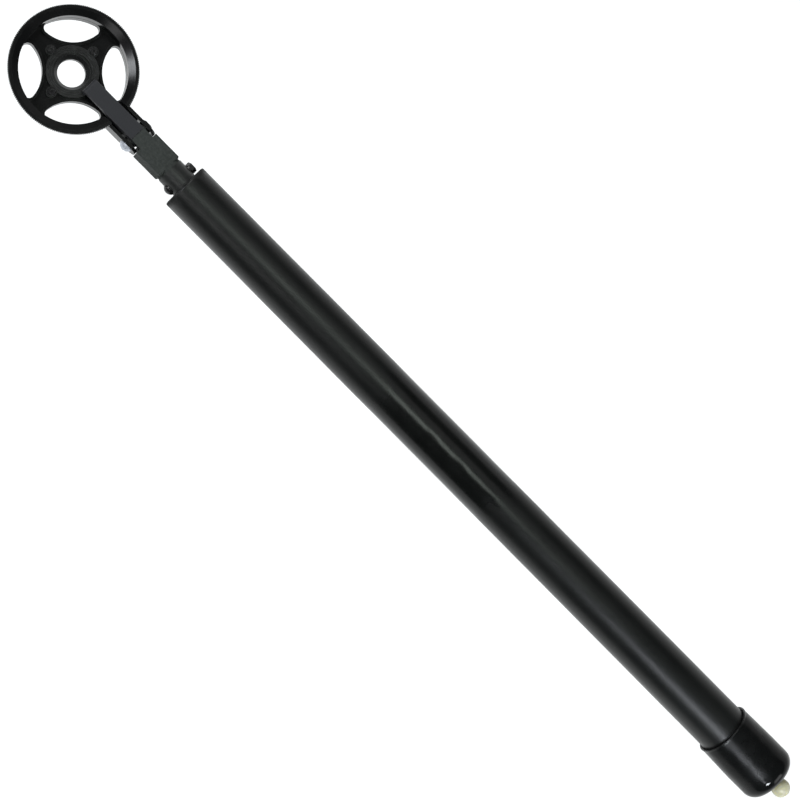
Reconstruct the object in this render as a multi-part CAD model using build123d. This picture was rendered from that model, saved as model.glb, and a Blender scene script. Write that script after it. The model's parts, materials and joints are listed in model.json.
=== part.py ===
from build123d import *
import os
from math import sqrt

# Folding winch handle: a spoked hand wheel with a bore for the drive shaft, a clevis on its rim, a rocker
# arm that bears on the hub, and a long handle with a foam grip that turns on its inner tube.
# Frame: origin on the axis of the drive bore, +Z along the bore towards the wheel's front, +X along the
# handle. Lengths are in millimetres.

OVER = 1.0  # how far a cutting tool runs past the face it cuts
OVERLAP = 1.0  # how far joined bodies reach into each other

# Hand wheel
RIM_R = 48.0
RIM_TOP = 16.0
RIM_BACK = -1.0
FLANGE_BACK = 12.6
BODY_R = 43.5
RIM_FLAT = 2.6
RIM_EDGE = 0.6
BEVEL_R = 40.4
BEVEL_DROP = 2.8
WINDOW_ARC_R = 40.3
WINDOW_LOBE_R = 29.7
WINDOW_NEAR = 22.0
WINDOW_CORNER = 4.3
WINDOW_ANGLES = (45, 135, 225, 315)
WEB_TOP = 3.5
WEB_BACK = -0.5
LIP_WIDTH = 1.8
LIP_TOP = 6.0
SEAT_R = 20.2
SEAT_TOP = 4.5
HUB_BACK = -3.0

# Hub fittings
BORE_R = 10.5
BORE_LAND = 4.0
BORE_TOP = 1.0
BORE_RELIEF = 1.5
BORE_RELIEF_DEPTH = 1.0
BUSH_R = 14.0
BUSH_FLANGE_R = 17.0
BUSH_FLANGE = 2.0
BUSH_MOUTH_R = 13.2
RING_R = 19.6
RING_BORE_R = 14.5
RING_TOP = 7.0
RING_GROOVES = (16.0, 17.7)
GROOVE_WIDTH = 0.8
GROOVE_DEPTH = 0.6
EAR_R = 4.0
EAR_THICKNESS = 1.9
SCREW_CIRCLE_R = 22.0
SCREW_R = 1.5
SCREW_HEAD_R = 3.0
SCREW_HEAD = 3.0
SCREW_SOCKET = 2.5
SCREW_EDGE = 0.4
SEAT_CLEAR = 0.15
SCREW_ANGLES = (0, 90, 180, 270)
BACK_PLATE = 2.0
BACK_PLATE_R = 20.0
NUT_FLAT = 5.5
NUT_HEIGHT = 2.4
HEX_ROUND = 1.11

# Clevis and pivot
PIVOT_X = 65.5
PIVOT_Z = 6.4
LUG_IN = 8.5
LUG_OUT = 11.1
LUG_R = 5.9
LUG_END_X = 74.4
LUG_ROOT_X = 41.5
GUSSET_END_X = 58.0
GUSSET_TOP = 2.5
PIN_R = 3.0
RUN_FIT = 0.05
PIVOT_HEAD_R = 5.3
PIVOT_HEAD = 3.4
PIVOT_NUT_FLAT = 9.0
PIVOT_NUT = 1.3
WASHER_R = 5.0
WASHER_GAP = 0.4

# Rocker arm, a U section folded from strip
ARM_TIP_X = 15.3
ARM_TOP = 14.8
ARM_HALF = 6.4
ARM_WEB = 2.2
ARM_CHEEK = 2.0
ARM_DEPTH = 3.2
ARM_NOSE = 3.4
ARM_NOSE_R = 3.0
CHEEK_START_X = 34.0
NOTCH_FLOOR = 4.5
ARM_EYE_R = 5.6
NOSE_GAP = 0.3
BUTT_GAP = 0.3

# Knuckle block and its tongue
KNUCKLE_R = 5.8
KNUCKLE_HALF = 4.4
EYE_CLEAR_R = 6.0
TONGUE_START = 6.5
LIP_CLEAR = 6.2
SHOULDER_X = 74.7
BLOCK_END_X = 99.0
BLOCK_HALF = 10.3
BLOCK_BACK = -4.3
BLOCK_EDGE = 1.2
BLOCK_END_EDGE = 0.9
TONGUE_BUSH_R = 4.2
SPIGOT_R = 9.45
NECK_R = 10.4
SPIGOT_END_X = 126.0

# Handle tubes and cross bolt
HANDLE_Z = 5.0
TUBE_R = 11.0
TUBE_WALL = 1.5
TUBE_START_X = 100.6
TUBE_END_X = 748.0
CROSS_X = 110.5
CROSS_R = 2.5
CROSS_HOLE_R = 2.6
CROSS_HEAD_R = 4.3
CROSS_HEAD = 2.3
CROSS_NUT_FLAT = 8.0
CROSS_NUT = 3.0
CROSS_WASHER_R = 4.4
CROSS_WASHER = 0.6

# Turning grip
GRIP_START_X = 116.2
GRIP_R = 19.3
GRIP_REAR_R = 20.4
GRIP_EDGE = 2.0
GRIP_TUBE_R = 14.0
GRIP_TUBE_WALL = 1.4
BUSH_START_X = 117.6
BUSH_LENGTH = 26.0
COLLAR = 2.0
REAR_BUSH_END_X = 752.0
FOAM_END_X = 756.0
CAP_START_X = 701.5
CAP_END_X = 760.5
CAP_R = 22.5
CAP_END_R = 23.4
CAP_END_WALL = 4.0
CAP_LIP = 1.4
CAP_LIP_R = 22.8
CAP_LIP_ROUND = 0.25
CAP_CORNER = 8.0
CAP_HOLE_R = 4.1

# Tube end plug and ball
PLUG_START_X = 726.0
PLUG_FLANGE = 2.0
PLUG_STEP = 0.2
STUD_R = 3.5
STUD_START_X = 738.0
BALL_R = 7.4
BALL_GAP = 1.4


def tube_along_x(radius, bore, start, end):
    """A round tube on the handle's axis, or a rod when the bore is zero."""
    body = Pos(start, 0, HANDLE_Z) * Rot(0, 90, 0) * extrude_circle(radius, end - start)
    if bore:
        body -= Pos(start - OVER, 0, HANDLE_Z) * Rot(0, 90, 0) * extrude_circle(bore, end - start + 2 * OVER)
    return body


def cone_along_x(start_radius, end_radius, start, end):
    """A solid cone frustum on the handle's axis."""
    frustum = Cone(start_radius, end_radius, end - start)
    return Pos((start + end) / 2, 0, HANDLE_Z) * Rot(0, 90, 0) * frustum


def extrude_circle(radius, height):
    return extrude(Circle(radius), height)


def disc(radius, low, high):
    """An upright round disc on the bore's axis."""
    return Pos(0, 0, low) * extrude_circle(radius, high - low)


def cross_rod(radius, x, z, low, high):
    """A rod along Y, from low to high."""
    return Pos(x, low, z) * Rot(-90, 0, 0) * extrude_circle(radius, high - low)


def hex_along_y(flat, x, z, low, high):
    """A hexagonal nut blank along Y, with rounded-off corners."""
    prism = extrude(RegularPolygon(flat / 2, 6, major_radius=False), high - low)
    prism &= extrude_circle(flat / 2 * HEX_ROUND, high - low)
    return Pos(x, low, z) * Rot(-90, 0, 0) * prism


def dome_along_y(radius, height, x, z, base, way):
    """A button head whose flat side is at y = base, domed towards way (+1 or -1)."""
    sphere_r = (radius**2 + height**2) / (2 * height)
    ball = Pos(x, base + way * (height - sphere_r), z) * Sphere(sphere_r)
    low, high = sorted((base, base + way * height))
    return ball & cross_rod(radius, x, z, low, high)


def on_spokes(piece):
    """Copies of a piece on each of the four spokes."""
    return [Rot(0, 0, angle) * piece for angle in SCREW_ANGLES]


def screw_holes(low, high, radius=SCREW_R):
    """Cutters for the four hub screws, running past both faces."""
    hole = extrude_circle(radius, high - low + 2 * OVER)
    return on_spokes(Pos(SCREW_CIRCLE_R, 0, low - OVER) * hole)


def slab(x0, x1, y0, y1, z0, z1):
    """A box between two corners."""
    size = (x1 - x0, y1 - y0, z1 - z0)
    return Pos((x0 + x1) / 2, (y0 + y1) / 2, (z0 + z1) / 2) * Box(*size)


def window_face(grow=0.0):
    """The lens-shaped window between two spokes, grown outwards by a margin."""
    lobe_centre = WINDOW_NEAR + WINDOW_LOBE_R
    lens = Circle(WINDOW_ARC_R + grow) & (Pos(lobe_centre, 0) * Circle(WINDOW_LOBE_R + grow))
    return fillet(lens.vertices(), WINDOW_CORNER + grow)


def lug_profile():
    """Side view of a clevis lug in X and Z: a strip with a round nose, running back into the rim."""
    nose_x = LUG_END_X - LUG_R
    nose = Pos(nose_x, PIVOT_Z) * Circle(LUG_R)
    plate = Pos((LUG_ROOT_X + nose_x) / 2, PIVOT_Z) * Rectangle(nose_x - LUG_ROOT_X, 2 * LUG_R)
    return nose + plate


def side_plate(profile, low, high):
    """A profile drawn in X and Z, given thickness along Y from low to high."""
    return Pos(0, high, 0) * Rot(90, 0, 0) * extrude(profile, high - low)


def hand_wheel():
    """Moulded wheel: rim, recessed web, window lips, hub boss and the two clevis lugs."""
    inner = RIM_R - RIM_FLAT
    section = Polyline(
        (BEVEL_R, RIM_BACK), (BODY_R - RIM_EDGE, RIM_BACK), (BODY_R, RIM_BACK + RIM_EDGE),
        (BODY_R, FLANGE_BACK), (RIM_R - RIM_EDGE, FLANGE_BACK), (RIM_R, FLANGE_BACK + RIM_EDGE),
        (RIM_R, RIM_TOP - RIM_EDGE), (RIM_R - RIM_EDGE, RIM_TOP), (inner, RIM_TOP),
        (BEVEL_R, RIM_TOP - BEVEL_DROP),
        close=True,
    )
    rim = revolve(Plane.XZ * make_face(section), Axis.Z)
    web = disc(BEVEL_R + OVERLAP, WEB_BACK, WEB_TOP)
    lips = disc(BEVEL_R + OVERLAP, WEB_TOP - OVERLAP, LIP_TOP)
    lip_field = extrude(window_face(LIP_WIDTH), LIP_TOP - WEB_TOP + 2 * OVERLAP)
    lip_tool = Part() + [Rot(0, 0, a) * Pos(0, 0, WEB_TOP - OVERLAP) * lip_field for a in WINDOW_ANGLES]
    boss = disc(SEAT_R, HUB_BACK, SEAT_TOP)
    boss += on_spokes(Pos(SCREW_CIRCLE_R, 0, HUB_BACK) * extrude_circle(EAR_R, SEAT_TOP - HUB_BACK))
    lugs = [side_plate(lug_profile(), side * LUG_IN, side * LUG_OUT) for side in (1, -1)]
    half = LUG_IN + OVERLAP
    gusset = slab(LUG_ROOT_X, GUSSET_END_X, -half, half, PIVOT_Z - LUG_R, GUSSET_TOP)
    wheel = rim + web + (lips & lip_tool) + boss + lugs + gusset
    opening = extrude(window_face(), RIM_TOP - RIM_BACK + 2 * OVER)
    wheel -= [Rot(0, 0, a) * Pos(0, 0, RIM_BACK - OVER) * opening for a in WINDOW_ANGLES]
    wheel -= disc(BUSH_R, HUB_BACK - OVER, SEAT_TOP + OVER)
    wheel -= disc(BUSH_FLANGE_R, SEAT_TOP - BUSH_FLANGE, SEAT_TOP + OVER)
    wheel -= screw_holes(HUB_BACK, SEAT_TOP)
    wheel -= slab(BEVEL_R - 2 * OVER, RIM_R + OVER, -LUG_IN, LUG_IN, NOTCH_FLOOR, RIM_TOP + OVER)
    wheel -= cross_rod(PIN_R, PIVOT_X, PIVOT_Z, -LUG_OUT - OVER, LUG_OUT + OVER)
    return wheel


def hub_bush():
    """Flanged bush with a tapered mouth, a short land that fits the drive shaft, and a relieved back."""
    bush = disc(BUSH_R, HUB_BACK, SEAT_TOP) + disc(BUSH_FLANGE_R, SEAT_TOP - BUSH_FLANGE, SEAT_TOP)
    land_back = BORE_TOP - BORE_LAND
    bush += disc(BUSH_R, land_back - BORE_RELIEF_DEPTH, HUB_BACK)
    bush -= disc(BORE_R, land_back - 2 * OVER, SEAT_TOP + OVER)
    mouth = Pos(0, 0, (BORE_TOP + SEAT_TOP) / 2) * Cone(BORE_R, BUSH_MOUTH_R, SEAT_TOP - BORE_TOP)
    bush -= mouth
    bush -= disc(BORE_R + BORE_RELIEF, land_back - 2 * OVER, land_back)
    return bush


def hub_ring():
    """Front retaining ring with two turned grooves and an ear under each screw."""
    ring = disc(RING_R, SEAT_TOP, RING_TOP)
    ring += on_spokes(Pos(SCREW_CIRCLE_R, 0, SEAT_TOP) * extrude_circle(EAR_R, EAR_THICKNESS))
    ring -= disc(RING_BORE_R, SEAT_TOP - OVER, RING_TOP + OVER)
    for radius in RING_GROOVES:
        floor = RING_TOP - GROOVE_DEPTH
        groove = disc(radius + GROOVE_WIDTH / 2, floor, RING_TOP + OVER)
        ring -= groove - disc(radius - GROOVE_WIDTH / 2, floor - OVER, RING_TOP + 2 * OVER)
    ring -= screw_holes(SEAT_TOP, SEAT_TOP + EAR_THICKNESS)
    seat = SEAT_TOP + EAR_THICKNESS
    ring -= on_spokes(Pos(SCREW_CIRCLE_R, 0, seat) * extrude_circle(SCREW_HEAD_R + SEAT_CLEAR, SCREW_HEAD))
    return ring


def hub_back_plate():
    """Rear plate that closes the hub and carries the nuts."""
    low = HUB_BACK - BACK_PLATE
    plate = disc(BACK_PLATE_R, low, HUB_BACK)
    plate += on_spokes(Pos(SCREW_CIRCLE_R, 0, low) * extrude_circle(EAR_R, BACK_PLATE))
    plate -= disc(BUSH_R, low - OVER, HUB_BACK + OVER)
    return plate - screw_holes(low, HUB_BACK)


def hub_screws():
    """Four socket-head screws through the ring, the wheel and the back plate."""
    seat = SEAT_TOP + EAR_THICKNESS
    tip = HUB_BACK - BACK_PLATE - NUT_HEIGHT
    shank = Pos(SCREW_CIRCLE_R, 0, tip) * extrude_circle(SCREW_R, seat - tip)
    head = Pos(SCREW_CIRCLE_R, 0, seat) * extrude_circle(SCREW_HEAD_R, SCREW_HEAD)
    head = chamfer(head.edges().group_by(Axis.Z)[-1], SCREW_EDGE)
    socket = extrude(RegularPolygon(SCREW_SOCKET / 2, 6, major_radius=False), SCREW_HEAD)
    screw = shank + head - Pos(SCREW_CIRCLE_R, 0, seat + SCREW_HEAD / 2) * socket
    return on_spokes(screw)


def hub_nuts():
    """Four hexagon nuts under the back plate."""
    low = HUB_BACK - BACK_PLATE - NUT_HEIGHT
    nut = extrude(RegularPolygon(NUT_FLAT / 2, 6, major_radius=False), NUT_HEIGHT)
    nut -= Pos(0, 0, -OVER) * extrude_circle(SCREW_R, NUT_HEIGHT + 2 * OVER)
    return on_spokes(Pos(SCREW_CIRCLE_R, 0, low) * nut)


def pivot_bolt():
    """Button-head bolt across the clevis, its head on the -Y lug."""
    end = LUG_OUT + PIVOT_NUT
    shank = cross_rod(PIN_R, PIVOT_X, PIVOT_Z, -LUG_OUT, end)
    head = dome_along_y(PIVOT_HEAD_R, PIVOT_HEAD, PIVOT_X, PIVOT_Z, -LUG_OUT, -1)
    return shank + head


def pivot_nut():
    """Hexagon nut on the +Y lug."""
    nut = hex_along_y(PIVOT_NUT_FLAT, PIVOT_X, PIVOT_Z, LUG_OUT, LUG_OUT + PIVOT_NUT)
    return nut - cross_rod(PIN_R, PIVOT_X, PIVOT_Z, LUG_OUT - OVER, LUG_OUT + PIVOT_NUT + OVER)


def pivot_washers():
    """Two washers that keep the arm central between the lugs."""
    washers = []
    for side in (-1, 1):
        low, high = sorted((side * (ARM_HALF + WASHER_GAP), side * LUG_IN))
        ring = cross_rod(WASHER_R, PIVOT_X, PIVOT_Z, low, high)
        washers.append(ring - cross_rod(PIN_R, PIVOT_X, PIVOT_Z, low - OVER, high + OVER))
    return washers


def rocker_arm():
    """U-section arm from the pivot to the hub ring, with a nose bent down and cheeks that deepen
    towards the pivot."""
    end_x = PIVOT_X - BUTT_GAP / 2
    nose_low = RING_TOP + NOSE_GAP
    underside = ARM_TOP - ARM_DEPTH
    heel = ARM_EYE_R / sqrt(2)
    outline = Polyline(
        (ARM_TIP_X, nose_low), (ARM_TIP_X, ARM_TOP), (end_x, ARM_TOP), (end_x, PIVOT_Z),
        (PIVOT_X - heel, PIVOT_Z - heel), (CHEEK_START_X, underside),
        (ARM_TIP_X + ARM_NOSE, underside), (ARM_TIP_X + ARM_NOSE, nose_low),
        close=True,
    )
    body = side_plate(make_face(outline), -ARM_HALF, ARM_HALF)
    tip_edges = body.edges().filter_by(Axis.Y).group_by(Axis.X)[0]
    body = fillet(tip_edges.sort_by(Axis.Z)[-1], ARM_NOSE_R)
    body += cross_rod(ARM_EYE_R, PIVOT_X, PIVOT_Z, -ARM_HALF, ARM_HALF)
    inside = ARM_HALF - ARM_CHEEK
    far_x = PIVOT_X + ARM_EYE_R + OVER
    low = PIVOT_Z - ARM_EYE_R - OVER
    body -= slab(ARM_TIP_X + ARM_NOSE, far_x, -inside, inside, low, ARM_TOP - ARM_WEB)
    return body - cross_rod(PIN_R + RUN_FIT, PIVOT_X, PIVOT_Z, -ARM_HALF - OVER, ARM_HALF + OVER)


def tongue_bush():
    """Plain bush in the tongue's eye, running on the pivot bolt."""
    bush = cross_rod(TONGUE_BUSH_R, PIVOT_X, PIVOT_Z, -KNUCKLE_HALF, KNUCKLE_HALF)
    past = KNUCKLE_HALF + OVER
    return bush - cross_rod(PIN_R + RUN_FIT, PIVOT_X, PIVOT_Z, -past, past)


def knuckle_block():
    """Moulded block: an eye between the arm's cheeks, a tongue as wide as the arm, a square body and a
    round spigot for the tube."""
    root_x = SHOULDER_X + OVERLAP
    lip_x = PIVOT_X + BUTT_GAP / 2
    tongue_x = PIVOT_X + TONGUE_START
    tongue = slab(lip_x, root_x, -ARM_HALF, ARM_HALF, PIVOT_Z + LIP_CLEAR, ARM_TOP)
    tongue += slab(tongue_x, root_x, -ARM_HALF, ARM_HALF, BLOCK_BACK + BLOCK_EDGE, ARM_TOP)
    tongue -= cross_rod(EYE_CLEAR_R, PIVOT_X, PIVOT_Z, -ARM_HALF - OVER, ARM_HALF + OVER)
    eye = cross_rod(KNUCKLE_R, PIVOT_X, PIVOT_Z, -KNUCKLE_HALF, KNUCKLE_HALF)
    eye_low, eye_high = PIVOT_Z - KNUCKLE_R, PIVOT_Z + KNUCKLE_R
    eye += slab(PIVOT_X, root_x, -KNUCKLE_HALF, KNUCKLE_HALF, eye_low, eye_high)
    block = slab(SHOULDER_X, BLOCK_END_X, -BLOCK_HALF, BLOCK_HALF, BLOCK_BACK, ARM_TOP)
    block = chamfer(block.edges().filter_by(Axis.X), BLOCK_EDGE)
    block = chamfer(block.edges().group_by(Axis.X)[-1], BLOCK_END_EDGE)
    body = block + tongue + eye
    body += tube_along_x(SPIGOT_R, 0, BLOCK_END_X - OVERLAP, SPIGOT_END_X)
    body += tube_along_x(NECK_R, 0, BLOCK_END_X - OVERLAP, TUBE_START_X)
    body -= cross_rod(TONGUE_BUSH_R, PIVOT_X, PIVOT_Z, -KNUCKLE_HALF - OVER, KNUCKLE_HALF + OVER)
    return body - cross_bolt_hole()


def cross_bolt_hole():
    """Cutter for the bolt through the tube and the spigot."""
    return cross_rod(CROSS_HOLE_R, CROSS_X, HANDLE_Z, -TUBE_R - OVER, TUBE_R + OVER)


def inner_tube():
    """Metal tube from the block to the end plug, cross-drilled for the bolt."""
    tube = tube_along_x(TUBE_R, TUBE_R - TUBE_WALL, TUBE_START_X, TUBE_END_X)
    return tube - cross_bolt_hole()


def cross_bolt():
    """Button-head bolt through the tube and the spigot; it also keeps the grip from sliding forward."""
    seat = TUBE_R + CROSS_WASHER
    shank = cross_rod(CROSS_R, CROSS_X, HANDLE_Z, -seat, seat + CROSS_NUT)
    return shank + dome_along_y(CROSS_HEAD_R, CROSS_HEAD, CROSS_X, HANDLE_Z, -seat, -1)


def cross_bolt_nut():
    """Hexagon nut on the +Y side of the tube."""
    seat = TUBE_R + CROSS_WASHER
    nut = hex_along_y(CROSS_NUT_FLAT, CROSS_X, HANDLE_Z, seat, seat + CROSS_NUT)
    return nut - cross_rod(CROSS_R, CROSS_X, HANDLE_Z, seat - OVER, seat + CROSS_NUT + OVER)


def cross_bolt_washers():
    """A washer under the head and one under the nut, dished to sit on the tube."""
    saddle = tube_along_x(TUBE_R, 0, CROSS_X - 2 * CROSS_WASHER_R, CROSS_X + 2 * CROSS_WASHER_R)
    washers = []
    for side in (-1, 1):
        low, high = sorted((side * (TUBE_R - OVERLAP), side * (TUBE_R + CROSS_WASHER)))
        ring = cross_rod(CROSS_WASHER_R, CROSS_X, HANDLE_Z, low, high)
        hole = cross_rod(CROSS_R, CROSS_X, HANDLE_Z, low - OVER, high + OVER)
        washers.append(ring - saddle - hole)
    return washers


def grip_bush(start, way):
    """Flanged nylon bush in one end of the grip tube. way is +1 or -1, from its flange into the tube."""
    flange_x = sorted((start, start + way * COLLAR))
    barrel_x = sorted((start, start + way * BUSH_LENGTH))
    bore = TUBE_R + RUN_FIT
    bush = tube_along_x(GRIP_TUBE_R, bore, *flange_x)
    return bush + tube_along_x(GRIP_TUBE_R - GRIP_TUBE_WALL, bore, *barrel_x)


def grip_tube():
    """Tube under the foam, between the flanges of its two bushes."""
    bore = GRIP_TUBE_R - GRIP_TUBE_WALL
    return tube_along_x(GRIP_TUBE_R, bore, BUSH_START_X + COLLAR, REAR_BUSH_END_X - COLLAR)


def foam_grip():
    """Foam sleeve over the grip tube: a rounded front edge, and a little thicker towards the cap."""
    foam = cone_along_x(GRIP_R, GRIP_REAR_R, GRIP_START_X, CAP_START_X)
    foam += tube_along_x(GRIP_REAR_R, 0, CAP_START_X, FOAM_END_X)
    foam = fillet(foam.edges().group_by(Axis.X)[0], GRIP_EDGE)
    return foam - tube_along_x(GRIP_TUBE_R, 0, GRIP_START_X - OVER, FOAM_END_X + OVER)


def end_cap():
    """Dipped vinyl cap over the foam's end: it widens towards its rounded end, and has a rolled lip at its
    mouth and a hole for the ball's stud."""
    cap = cone_along_x(CAP_R, CAP_END_R, CAP_START_X, CAP_END_X)
    cap = fillet(cap.edges().group_by(Axis.X)[-1], CAP_CORNER)
    lip = tube_along_x(CAP_LIP_R, 0, CAP_START_X, CAP_START_X + CAP_LIP)
    cap += fillet(lip.edges().filter_by(GeomType.CIRCLE), CAP_LIP_ROUND)
    inner_end = CAP_END_X - CAP_END_WALL
    cap -= tube_along_x(GRIP_REAR_R, 0, CAP_START_X - OVER, inner_end)
    return cap - tube_along_x(CAP_HOLE_R, 0, inner_end - OVER, CAP_END_X + OVER)


def end_plug():
    """Plug pressed into the inner tube's far end, drilled for the ball's stud."""
    bore = TUBE_R - TUBE_WALL
    plug = tube_along_x(bore, 0, PLUG_START_X, TUBE_END_X)
    plug += tube_along_x(TUBE_R - PLUG_STEP, 0, TUBE_END_X, TUBE_END_X + PLUG_FLANGE)
    return plug - tube_along_x(STUD_R, 0, STUD_START_X, TUBE_END_X + PLUG_FLANGE + OVER)


def end_ball():
    """Nylon ball on a stud, screwed into the end plug to keep the grip on."""
    centre_x = CAP_END_X + BALL_GAP + sqrt(BALL_R**2 - CAP_HOLE_R**2)
    return Pos(centre_x, 0, HANDLE_Z) * Sphere(BALL_R) + tube_along_x(STUD_R, 0, STUD_START_X, centre_x)


PIECES = {
    "hand_wheel": hand_wheel,
    "hub_bush": hub_bush,
    "hub_ring": hub_ring,
    "hub_back_plate": hub_back_plate,
    "hub_screws": hub_screws,
    "hub_nuts": hub_nuts,
    "pivot_bolt": pivot_bolt,
    "pivot_nut": pivot_nut,
    "pivot_washers": pivot_washers,
    "rocker_arm": rocker_arm,
    "tongue_bush": tongue_bush,
    "knuckle_block": knuckle_block,
    "inner_tube": inner_tube,
    "cross_bolt": cross_bolt,
    "cross_bolt_nut": cross_bolt_nut,
    "cross_bolt_washers": cross_bolt_washers,
    "front_grip_bush": lambda: grip_bush(BUSH_START_X, 1),
    "rear_grip_bush": lambda: grip_bush(REAR_BUSH_END_X, -1),
    "grip_tube": grip_tube,
    "foam_grip": foam_grip,
    "end_cap": end_cap,
    "end_plug": end_plug,
    "end_ball": end_ball,
}

os.makedirs("parts", exist_ok=True)
for name, make in PIECES.items():
    piece = make()
    if isinstance(piece, list):
        piece = Compound(children=piece)
    export_step(piece, f"parts/{name}.step")
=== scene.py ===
import json
import math
import bpy
import bmesh
from mathutils import Matrix, Vector, noise


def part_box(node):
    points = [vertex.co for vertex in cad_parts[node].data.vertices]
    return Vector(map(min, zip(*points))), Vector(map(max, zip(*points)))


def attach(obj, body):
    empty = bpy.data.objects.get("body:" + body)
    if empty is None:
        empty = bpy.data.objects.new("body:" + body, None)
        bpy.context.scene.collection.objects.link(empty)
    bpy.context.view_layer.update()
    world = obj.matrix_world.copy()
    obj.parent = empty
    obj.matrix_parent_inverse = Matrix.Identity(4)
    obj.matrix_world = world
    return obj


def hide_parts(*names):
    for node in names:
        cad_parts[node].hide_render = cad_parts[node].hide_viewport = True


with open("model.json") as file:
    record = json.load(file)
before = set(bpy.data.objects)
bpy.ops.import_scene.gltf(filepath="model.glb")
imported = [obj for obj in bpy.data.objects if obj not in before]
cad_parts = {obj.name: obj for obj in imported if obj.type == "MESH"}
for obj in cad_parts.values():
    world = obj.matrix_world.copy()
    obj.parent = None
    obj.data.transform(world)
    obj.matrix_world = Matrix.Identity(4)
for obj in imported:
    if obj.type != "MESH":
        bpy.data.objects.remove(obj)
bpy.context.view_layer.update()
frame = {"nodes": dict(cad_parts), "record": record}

NODES = frame["nodes"]

# Handle axis and sizes read from the frame, in metres
FOAM_LOW, FOAM_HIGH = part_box("foam_grip")
CAP_LOW, CAP_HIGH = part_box("end_cap")
WHEEL_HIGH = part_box("hand_wheel")[1]
TUBE_LOW, TUBE_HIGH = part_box("grip_tube")
AXIS_Z = (FOAM_LOW.z + FOAM_HIGH.z) / 2
FOAM_R = (FOAM_HIGH.y - FOAM_LOW.y) / 2
TUBE_R = (TUBE_HIGH.y - TUBE_LOW.y) / 2
CAP_END_R = (CAP_HIGH.y - CAP_LOW.y) / 2
CAP_FLARE = 0.0008  # how much narrower the cap is at its mouth
CAP_LEAN = 0.0022  # how far the cap's mouth leans out of square
CAP_LEAN_ANGLE = -0.25  # angle round the mouth where it leans furthest towards the cap's end
WORN_START = (0.315, 0.345)  # stretch over which the hand-worn zone of the foam fades in
WORN_STOP = (0.438, 0.452)  # stretch over which it fades out again
RIM_R = WHEEL_HIGH.y
RIM_TOP = WHEEL_HIGH.z


# Meshes ---------------------------------------------------------------------------------------------------

def mesh_object(name, bm, smooth=True):
    """A scene object made from a bmesh."""
    bmesh.ops.recalc_face_normals(bm, faces=bm.faces)
    mesh = bpy.data.meshes.new(name)
    bm.to_mesh(mesh)
    bm.free()
    for poly in mesh.polygons:
        poly.use_smooth = smooth
    obj = bpy.data.objects.new(name, mesh)
    bpy.context.scene.collection.objects.link(obj)
    return obj


def swept_rings(profile, shape, around):
    """A surface round the handle's axis. Each profile point is (x, radius), and shape(x, radius, angle)
    gives its real place, so the surface can be uneven."""
    bm = bmesh.new()
    rings = []
    for x, radius in profile:
        ring = []
        for k in range(around):
            ring.append(bm.verts.new(shape(x, radius, 2 * math.pi * k / around)))
        rings.append(ring)
    for first, second in zip(rings, rings[1:]):
        for k in range(around):
            after = (k + 1) % around
            bm.faces.new((first[k], first[after], second[after], second[k]))
    return bm


def arc(cx, cr, radius, start, stop, steps):
    """Profile points on an arc about (cx, cr), angles in degrees from +x towards +radius."""
    points = []
    for k in range(steps + 1):
        a = math.radians(start + (stop - start) * k / steps)
        points.append((cx + radius * math.cos(a), cr + radius * math.sin(a)))
    return points


def steps_between(start, stop, pitch):
    """Evenly spaced values strictly between two ends."""
    count = max(1, round((stop - start) / pitch))
    return [start + (stop - start) * k / count for k in range(1, count)]


def ripple(x, angle, scale, seed):
    """A smooth random value from about -1 to 1 over a round surface."""
    return noise.noise(Vector((x / scale, seed + math.cos(angle) * 1.3, math.sin(angle) * 1.3)))


def on_axis(x, radius, angle):
    """A point round the handle's axis; the angle starts at the top."""
    return Vector((x, radius * math.sin(angle), AXIS_Z + radius * math.cos(angle)))


# Shallow dents in the foam: place along the handle, angle round it, half-length, half-width, depth
DENTS = (
    (0.378, -0.36, 0.0045, 0.20, 0.00035),
    (0.409, -0.40, 0.0040, 0.24, 0.00035),
    (0.444, -0.52, 0.0050, 0.22, 0.00040),
)
FOAM_THINNER = 0.0012  # how much less radius the sleeve has at its front than at the cap
FOAM_ASIDE = 0.0004  # how far the sleeve's front is pressed to one side
FOAM_UNEVEN = 0.0001  # height of the sleeve's long, faint unevenness


def foam_shape(x, radius, angle):
    """Foam skin: a slight cone up to the cap, faintly uneven, with a few dents."""
    bore = radius < FOAM_R * 0.8
    if bore:
        return on_axis(x, radius, angle)
    along = min(1.0, (x - FOAM_LOW.x) / (CAP_LOW.x - FOAM_LOW.x))
    grown = radius - FOAM_THINNER * (1 - along) + FOAM_UNEVEN * ripple(x, angle, 0.045, 3.0)
    for dent_x, dent_angle, length, width, depth in DENTS:
        turned = angle - dent_angle % (2 * math.pi)
        grown -= depth * math.exp(-((x - dent_x) / length) ** 2 - (turned / width) ** 2)
    return on_axis(x, grown - FOAM_ASIDE * (1 - along) * math.sin(angle), angle)


def make_foam():
    """Foam sleeve with a soft front edge, open bore, and its far end hidden in the cap."""
    edge = 0.0016
    bore = TUBE_R + 0.0001
    chamfer = 0.0008
    front = FOAM_LOW.x
    far = CAP_LOW.x + 0.004
    profile = [(front + 0.012, bore), (front + chamfer, bore), (front, bore + chamfer)]
    profile += [(front - 0.0001, FOAM_R - edge - 0.001)]
    profile += arc(front + edge, FOAM_R - edge, edge, 180, 90, 7)
    profile += [(x, FOAM_R) for x in steps_between(front + edge, far, 0.003)]
    profile += [(far, FOAM_R), (FOAM_HIGH.x - 0.002, FOAM_R - 0.0002), (FOAM_HIGH.x - 0.001, bore)]
    return mesh_object("foam_sleeve", swept_rings(profile, foam_shape, 128))


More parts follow.
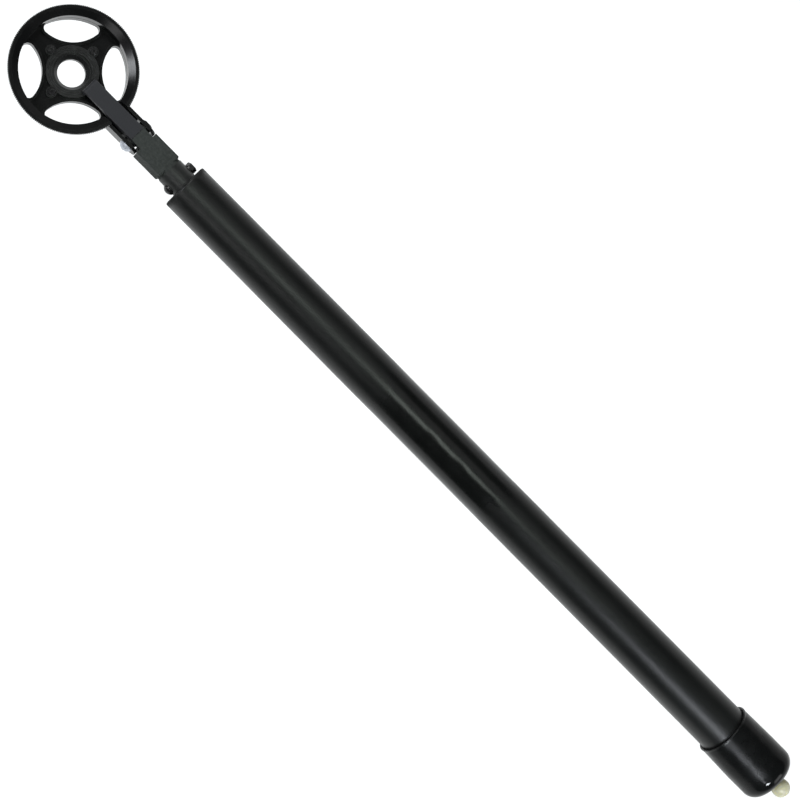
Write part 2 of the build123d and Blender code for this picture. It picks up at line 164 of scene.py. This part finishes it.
def cap_shape(x, radius, angle):
    """Vinyl skin: the mouth leans a little, and the wall is faintly wavy over the foam."""
    lean = math.cos(angle - CAP_LEAN_ANGLE) * radius / CAP_END_R
    fade = max(0.0, 1 - (x - CAP_LOW.x) / (CAP_HIGH.x - CAP_LOW.x)) ** 1.5
    wave = 0.00016 * ripple(x, angle, 0.016, 8.0) + 0.00006 * ripple(x, angle * 2, 0.007, 21.0)
    return on_axis(x + CAP_LEAN * lean * fade, radius + wave * min(1.0, radius / CAP_END_R), angle)


def wall_radius(x, start, stop):
    """The cap's wall widens quickly at first, then levels out."""
    along = (x - start) / (stop - start)
    return CAP_END_R - CAP_FLARE * (1 - along) ** 1.6


def make_cap():
    """Dipped cap: thin rolled lip, a wall that widens away from it, rounded end and a hole for the stud."""
    corner = 0.0105
    lip = 0.0005
    hole = 0.0041
    inside = FOAM_R + 0.00005
    mouth, end = CAP_LOW.x, CAP_HIGH.x - 0.0005
    mouth_r = CAP_END_R - CAP_FLARE
    end_r = CAP_END_R - corner
    start, stop = mouth + lip * 2.6, end - corner
    profile = [(mouth + 0.006, inside), (mouth + lip * 0.5, inside)]
    profile += arc(mouth + lip, mouth_r + 0.0003 - lip, lip, 200, 60, 8)
    places = [start] + steps_between(start, stop, 0.0012)
    profile += [(x, wall_radius(x, start, stop)) for x in places]
    profile += arc(stop, end_r, corner, 90, 4, 12)
    profile += [(end - 0.00002 + 0.0002 * (k / 6), end_r * (1 - k / 7)) for k in range(6)]
    profile += [(end + 0.0001, hole + 0.0003), (end - 0.0003, hole), (end - 0.004, hole)]
    return mesh_object("cap_skin", swept_rings(profile, cap_shape, 160))


def make_knurl():
    """Fine straight ribs round the edge of the wheel's flange, open where the arm passes."""
    ribs = 210
    foot = RIM_TOP - 0.0036
    height = 0.0005
    sunk = -0.0006
    notch_half = 0.0092
    gap = math.asin(notch_half / RIM_R)
    half = math.pi / ribs * 0.62
    levels = ((foot, 0.0), (foot + height, height), (RIM_TOP - 0.0007, height), (RIM_TOP - 0.0002, 0.0))
    bm = bmesh.new()
    for k in range(ribs):
        mid = 2 * math.pi * (k + 0.5) / ribs
        if min(mid, 2 * math.pi - mid) < gap:
            continue
        loops = []
        for z, out in levels:
            row = []
            for share, rise in ((-1.0, sunk), (-0.45, out), (0.45, out), (1.0, sunk)):
                a = mid + half * share
                r = RIM_R + rise
                row.append(bm.verts.new((r * math.cos(a), r * math.sin(a), z)))
            loops.append(row)
        for low, high in zip(loops, loops[1:]):
            for j in range(3):
                bm.faces.new((low[j], low[j + 1], high[j + 1], high[j]))
        bm.faces.new(loops[0][::-1])
        bm.faces.new(loops[-1])
    return mesh_object("rim_knurl", bm, smooth=False)


# Materials ------------------------------------------------------------------------------------------------

class Look:
    """A node material under construction, with short helpers for its texture nodes."""

    def __init__(self, name, metal=0.0, specular=0.5):
        self.material = bpy.data.materials.new(name)
        self.material.use_nodes = True
        self.nodes = self.material.node_tree.nodes
        self.links = self.material.node_tree.links
        self.shader = self.nodes["Principled BSDF"]
        self.shader.inputs["Metallic"].default_value = metal
        self.shader.inputs["Specular IOR Level"].default_value = specular
        self.place = self.nodes.new("ShaderNodeTexCoord").outputs["Object"]
        self.last_normal = None

    def stretched(self, scale):
        """Object coordinates scaled per axis."""
        node = self.nodes.new("ShaderNodeMapping")
        node.inputs["Scale"].default_value = scale
        self.links.new(self.place, node.inputs["Vector"])
        return node.outputs["Vector"]

    def noise(self, scale, detail, rough=0.55, place=None):
        """Fractal noise, about 0.5 on average."""
        node = self.nodes.new("ShaderNodeTexNoise")
        node.inputs["Scale"].default_value = scale
        node.inputs["Detail"].default_value = detail
        node.inputs["Roughness"].default_value = rough
        self.links.new(place or self.place, node.inputs["Vector"])
        return node.outputs["Fac"]

    def cells(self, scale):
        """Distance to the nearest of many random points."""
        node = self.nodes.new("ShaderNodeTexVoronoi")
        node.inputs["Scale"].default_value = scale
        self.links.new(self.place, node.inputs["Vector"])
        return node.outputs["Distance"]

    def band(self, value, low, high, out_low=0.0, out_high=1.0):
        """Maps a range of a value to another range, clamped."""
        node = self.nodes.new("ShaderNodeMapRange")
        ends = {"From Min": low, "From Max": high, "To Min": out_low, "To Max": out_high}
        for name, number in ends.items():
            node.inputs[name].default_value = number
        self.links.new(value, node.inputs["Value"])
        return node.outputs["Result"]

    def colors(self, value, first, second):
        """Mixes two colours by a value; the first may be another node's output."""
        node = self.nodes.new("ShaderNodeMix")
        node.data_type = "RGBA"
        if isinstance(first, tuple):
            node.inputs["A"].default_value = (*first, 1)
        else:
            self.links.new(first, node.inputs["A"])
        node.inputs["B"].default_value = (*second, 1)
        self.links.new(value, node.inputs["Factor"])
        return node.outputs["Result"]

    def edge_wear(self, radius, scale, detail, low, high):
        """1 where a sharp edge is rubbed, 0 on flat faces; noise breaks the wear up."""
        bevel = self.nodes.new("ShaderNodeBevel")
        bevel.samples = 4
        bevel.inputs["Radius"].default_value = radius
        face = self.nodes.new("ShaderNodeNewGeometry")
        dot = self.nodes.new("ShaderNodeVectorMath")
        dot.operation = "DOT_PRODUCT"
        self.links.new(bevel.outputs["Normal"], dot.inputs[0])
        self.links.new(face.outputs["Normal"], dot.inputs[1])
        edge = self.band(dot.outputs["Value"], 1.0, 0.88)
        return self.math("MULTIPLY", edge, self.band(self.noise(scale, detail), low, high))

    def along_x(self, start, stop):
        """0 before start and 1 after stop along the handle, with an uneven edge."""
        split = self.nodes.new("ShaderNodeSeparateXYZ")
        self.links.new(self.place, split.inputs["Vector"])
        shift = self.band(self.noise(70, 3), 0.3, 0.7, -0.006, 0.006)
        return self.band(self.math("ADD", split.outputs["X"], shift), start, stop)

    def math(self, operation, first, second):
        """Two values put together by an operation."""
        node = self.nodes.new("ShaderNodeMath")
        node.operation = operation
        self.links.new(first, node.inputs[0])
        self.links.new(second, node.inputs[1])
        return node.outputs["Value"]

    def set_color(self, output):
        """Gives the surface its colour."""
        self.links.new(output, self.shader.inputs["Base Color"])

    def set_rough(self, output):
        """Gives the surface its roughness."""
        self.links.new(output, self.shader.inputs["Roughness"])

    def bump(self, height, distance):
        """Adds a bump layer on top of those already there."""
        node = self.nodes.new("ShaderNodeBump")
        node.inputs["Distance"].default_value = distance
        node.inputs["Strength"].default_value = 1.0
        self.links.new(height, node.inputs["Height"])
        if self.last_normal:
            self.links.new(self.last_normal, node.inputs["Normal"])
        self.last_normal = node.outputs["Normal"]
        self.links.new(self.last_normal, self.shader.inputs["Normal"])


def moulded_plastic(name, dark, light, rough, grain, grain_depth, specular=0.5):
    """Moulded black plastic: fine grain, patches of handling gloss and paler worn edges."""
    look = Look(name, specular=specular)
    look.set_color(look.colors(look.edge_wear(0.0005, 260, 3, 0.42, 0.62), dark, light))
    look.set_rough(look.band(look.noise(38, 4), 0.32, 0.68, rough * 0.82, rough * 1.22))
    look.bump(look.noise(grain, 2), grain_depth)
    look.bump(look.noise(90, 2), 0.00003)
    return look.material


def block_grey():
    """Coarse matt moulding of the knuckle block, lightly mottled."""
    look = Look("block_moulding", specular=0.08)
    mottle = look.band(look.noise(520, 4, 0.7), 0.35, 0.65)
    base = look.colors(mottle, (0.046, 0.052, 0.049), (0.068, 0.074, 0.070))
    look.set_color(look.colors(look.edge_wear(0.0006, 300, 3, 0.4, 0.6), base, (0.075, 0.078, 0.076)))
    look.set_rough(look.band(look.noise(70, 3), 0.3, 0.7, 0.68, 0.84))
    look.bump(look.noise(1300, 3), 0.00006)
    look.bump(look.noise(330, 2), 0.00005)
    return look.material


def arm_paint():
    """Satin black paint on folded strip, with fine orange peel and rubbed edges."""
    look = Look("arm_paint", specular=0.3)
    rubbed = look.edge_wear(0.0005, 420, 3, 0.45, 0.62)
    look.set_color(look.colors(rubbed, (0.034, 0.035, 0.040), (0.12, 0.12, 0.12)))
    look.set_rough(look.band(look.noise(120, 4), 0.3, 0.7, 0.46, 0.62))
    look.bump(look.noise(900, 2), 0.00003)
    look.bump(look.noise(2600, 1), 0.00001)
    return look.material


def black_steel():
    """Blackened fasteners: semi-gloss oxide with oily patches."""
    look = Look("black_oxide", specular=0.6)
    rubbed = look.edge_wear(0.0003, 700, 2, 0.4, 0.6)
    look.set_color(look.colors(rubbed, (0.010, 0.010, 0.011), (0.12, 0.115, 0.11)))
    look.set_rough(look.band(look.noise(240, 3), 0.35, 0.65, 0.15, 0.30))
    look.bump(look.noise(2400, 2), 0.00001)
    return look.material


def bright_zinc():
    """Bright plated steel under a pale, slightly clouded film."""
    look = Look("bright_plating", metal=0.3)
    cloud = look.noise(320, 3)
    look.set_color(look.colors(look.band(cloud, 0.35, 0.65), (0.58, 0.62, 0.69), (0.74, 0.78, 0.86)))
    look.set_rough(look.band(cloud, 0.3, 0.7, 0.30, 0.46))
    look.bump(look.noise(1800, 2), 0.000015)
    return look.material


def tube_anodised():
    """Satin black anodised tube with faint drawing lines along it."""
    look = Look("black_anodising")
    lines = look.noise(700, 3, place=look.stretched((0.02, 1, 1)))
    look.set_color(look.colors(look.band(lines, 0.3, 0.7), (0.017, 0.0185, 0.018), (0.026, 0.028, 0.027)))
    look.set_rough(look.band(look.noise(160, 3), 0.3, 0.7, 0.34, 0.48))
    look.bump(lines, 0.000012)
    return look.material


def foam():
    """Closed-cell foam with a smooth, slightly shiny skin, tiny pits and long soft undulations. It is
    shinier where hands hold it, and rough on its cut front end."""
    look = Look("foam_skin")
    tone = look.band(look.noise(55, 4), 0.3, 0.7)
    look.set_color(look.colors(tone, (0.0022, 0.0028, 0.0027), (0.0045, 0.0054, 0.0050)))
    worn = look.math("MULTIPLY", look.along_x(*WORN_START), look.along_x(*reversed(WORN_STOP)))
    patchy = look.band(look.noise(24, 4, place=look.stretched((0.5, 1, 1))), 0.3, 0.7, -0.03, 0.05)
    cut = look.along_x(FOAM_LOW.x + 0.006, FOAM_LOW.x - 0.001)
    satin = look.math("ADD", look.band(worn, 0.0, 1.0, 0.34, 0.20), patchy)
    look.set_rough(look.math("ADD", satin, look.band(cut, 0.0, 1.0, 0.0, 0.5)))
    look.bump(look.band(look.cells(1500), 0.0, 0.35), 0.00003)
    look.bump(look.noise(3200, 2), 0.00002)
    look.bump(look.noise(60, 2), 0.00012)
    return look.material


def vinyl_cap():
    """Dipped vinyl: deep gloss, slow waves in the surface and a few dull handling smears."""
    look = Look("dipped_vinyl", specular=0.22)
    look.set_color(look.colors(look.noise(120, 2), (0.0030, 0.0034, 0.0034), (0.0055, 0.0060, 0.0060)))
    glossy_end = look.band(look.along_x(CAP_HIGH.x - 0.017, CAP_HIGH.x - 0.009), 0.0, 1.0, 0.0, -0.13)
    smears = look.band(look.noise(60, 4), 0.35, 0.70, 0.21, 0.32)
    look.set_rough(look.math("ADD", smears, glossy_end))
    look.bump(look.noise(75, 1), 0.00045)
    look.bump(look.noise(700, 1), 0.00001)
    return look.material


def ball_nylon():
    """Aged natural nylon: waxy, slightly translucent, unevenly yellowed."""
    look = Look("natural_nylon")
    yellowed = look.band(look.noise(190, 3), 0.3, 0.7)
    look.set_color(look.colors(yellowed, (0.48, 0.46, 0.30), (0.60, 0.58, 0.41)))
    look.shader.inputs["Subsurface Weight"].default_value = 0.35
    look.shader.inputs["Subsurface Radius"].default_value = (0.004, 0.0035, 0.002)
    look.shader.inputs["Subsurface Scale"].default_value = 1.0
    look.set_rough(look.band(look.noise(500, 3), 0.35, 0.65, 0.32, 0.46))
    look.bump(look.noise(900, 2), 0.00003)
    return look.material


LOOKS = {
    "wheel_black": moulded_plastic(
        "wheel_moulding", (0.0055, 0.0058, 0.0060), (0.045, 0.047, 0.046), 0.21, 1500, 0.000008, 0.3),
    "hub_black": moulded_plastic(
        "hub_moulding", (0.013, 0.0138, 0.0138), (0.08, 0.083, 0.082), 0.28, 1800, 0.000006),
    "bush_nylon": moulded_plastic(
        "bush_nylon", (0.012, 0.012, 0.012), (0.05, 0.05, 0.05), 0.5, 1200, 0.00002),
    "black_steel": black_steel(),
    "bright_zinc": bright_zinc(),
    "arm_paint": arm_paint(),
    "block_grey": block_grey(),
    "tube_anodised": tube_anodised(),
    "foam": foam(),
    "vinyl_cap": vinyl_cap(),
    "ball_nylon": ball_nylon(),
}
LOOKS["plug_nylon"] = LOOKS["bush_nylon"]


def add_piece(obj, body, slot):
    """Gives a mesh its material and the body it moves with."""
    obj.data.materials.append(LOOKS[slot])
    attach(obj, body)
    return obj


for part in frame["record"]["subparts"]:
    for holder in NODES[part["node"]].material_slots:
        holder.material = LOOKS[part["material_slot"]]

sleeve = add_piece(make_foam(), "grip", "foam")
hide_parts("foam_grip")
cap = add_piece(make_cap(), "grip", "vinyl_cap")
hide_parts("end_cap")
add_piece(make_knurl(), "wheel_head", "wheel_black")


# Floor, light and camera ----------------------------------------------------------------------------------

WHITE = (1, 1, 1)
FLOOR_Z = -0.80  # low enough for the folded handle to hang free
FLOOR_GLOW = 0.62  # keeps the ground evenly pale
ROOM_UP = Vector((0.0063, -0.2615, 0.9652)).normalized()  # towards the dim top of the room
CAMERA_PLACE = Vector((0.10615, -0.45214, 1.7761))
CAMERA_RIGHT = Vector((0.697495, 0.6661, 0.264219))
CAMERA_UP = Vector((-0.704929, 0.704048, 0.08598))
CAMERA_LENS = 110.205


def make_floor():
    """A wide, level, pale floor."""
    bm = bmesh.new()
    bmesh.ops.create_grid(bm, x_segments=4, y_segments=4, size=12.0)
    bm.transform(Matrix.Translation((0, 0, FLOOR_Z)))
    floor = mesh_object("floor", bm)
    look = Look("floor_white", specular=0.2)
    look.shader.inputs["Roughness"].default_value = 0.7
    look.set_color(look.colors(look.noise(3, 2), (0.90, 0.90, 0.90), (0.93, 0.93, 0.93)))
    look.shader.inputs["Emission Color"].default_value = (0.98, 1, 1, 1)
    look.shader.inputs["Emission Strength"].default_value = FLOOR_GLOW
    floor.data.materials.append(look.material)


def soft_box(name, spot, target, width, height, radiance, color):
    """A rectangular studio light; radiance is what a mirror would show."""
    light = bpy.data.lights.new(name, "AREA")
    light.shape = "RECTANGLE"
    light.size = width
    light.size_y = height
    light.energy = radiance * math.pi * width * height
    light.color = color
    lamp = bpy.data.objects.new(name, light)
    aim = Vector(target) - Vector(spot)
    lamp.matrix_world = Matrix.Translation(spot) @ aim.to_track_quat("-Z", "Y").to_matrix().to_4x4()
    lamp.visible_camera = False
    bpy.context.scene.collection.objects.link(lamp)


def make_world():
    """A dim room, paler low down."""
    world = bpy.data.worlds.new("room")
    bpy.context.scene.world = world
    world.use_nodes = True
    nodes, links = world.node_tree.nodes, world.node_tree.links
    place = nodes.new("ShaderNodeTexCoord")
    height = nodes.new("ShaderNodeVectorMath")
    height.operation = "DOT_PRODUCT"
    height.inputs[1].default_value = ROOM_UP
    fade = nodes.new("ShaderNodeMapRange")
    fade.interpolation_type = "SMOOTHSTEP"
    for name, number in (("From Min", 0.0), ("From Max", 0.2), ("To Min", 0.5), ("To Max", 0.05)):
        fade.inputs[name].default_value = number
    links.new(place.outputs["Generated"], height.inputs[0])
    links.new(height.outputs["Value"], fade.inputs["Value"])
    links.new(fade.outputs["Result"], nodes["Background"].inputs["Strength"])
    nodes["Background"].inputs["Color"].default_value = (*WHITE, 1)


def make_camera():
    """A long lens above the wheel, looking down across the handle."""
    data = bpy.data.cameras.new("camera")
    data.lens = CAMERA_LENS
    data.sensor_width = 36
    data.clip_start = 0.05
    camera = bpy.data.objects.new("camera", data)
    back = CAMERA_RIGHT.cross(CAMERA_UP).normalized()
    turn = Matrix((CAMERA_RIGHT, CAMERA_UP, back)).transposed().to_4x4()
    camera.matrix_world = Matrix.Translation(CAMERA_PLACE) @ turn
    bpy.context.scene.collection.objects.link(camera)
    bpy.context.scene.camera = camera


# Name, place, target, width, height, radiance and colour of each light
LIGHTS = (
    ("overhead_box", (0.36, -0.13, 1.5), (0.40, 0, 0), 0.85, 0.40, 2.8, (0.9, 1.0, 0.92)),
    ("back_glow", (0.45, 0.55, 1.5), (0.45, 0, 0), 1.0, 0.8, 0.35, WHITE),
    ("end_box", (0.90, -0.42, 0.6), (0.72, 0, 0), 0.15, 0.27, 6.2, (0.9, 0.93, 1.0)),
    ("front_box", (-0.12, -1.45, 1.5), (0.15, 0, 0), 0.5, 0.8, 2.8, WHITE),
    ("window_box", (-1.20, -0.82, 1.33), (0.0, 0, 0), 0.5, 0.5, 17, (0.93, 0.96, 1.0)),
    ("key_box", (2.6, 0.25, 0.9), (0.6, 0, 0), 1.0, 1.0, 2.5, WHITE),
    ("back_key", (-1.3, 0.9, 1.9), (0.3, 0, 0), 1.3, 1.3, 3, WHITE),
    ("lamp_box", (0.985, -0.252, 0.324), (0.75, -0.01, 0.026), 0.10, 0.10, 55, (0.9, 0.95, 1.0)),
)

make_floor()
make_world()
make_camera()
for light in LIGHTS:
    soft_box(*light)
bpy.context.scene.view_settings.view_transform = "Standard"
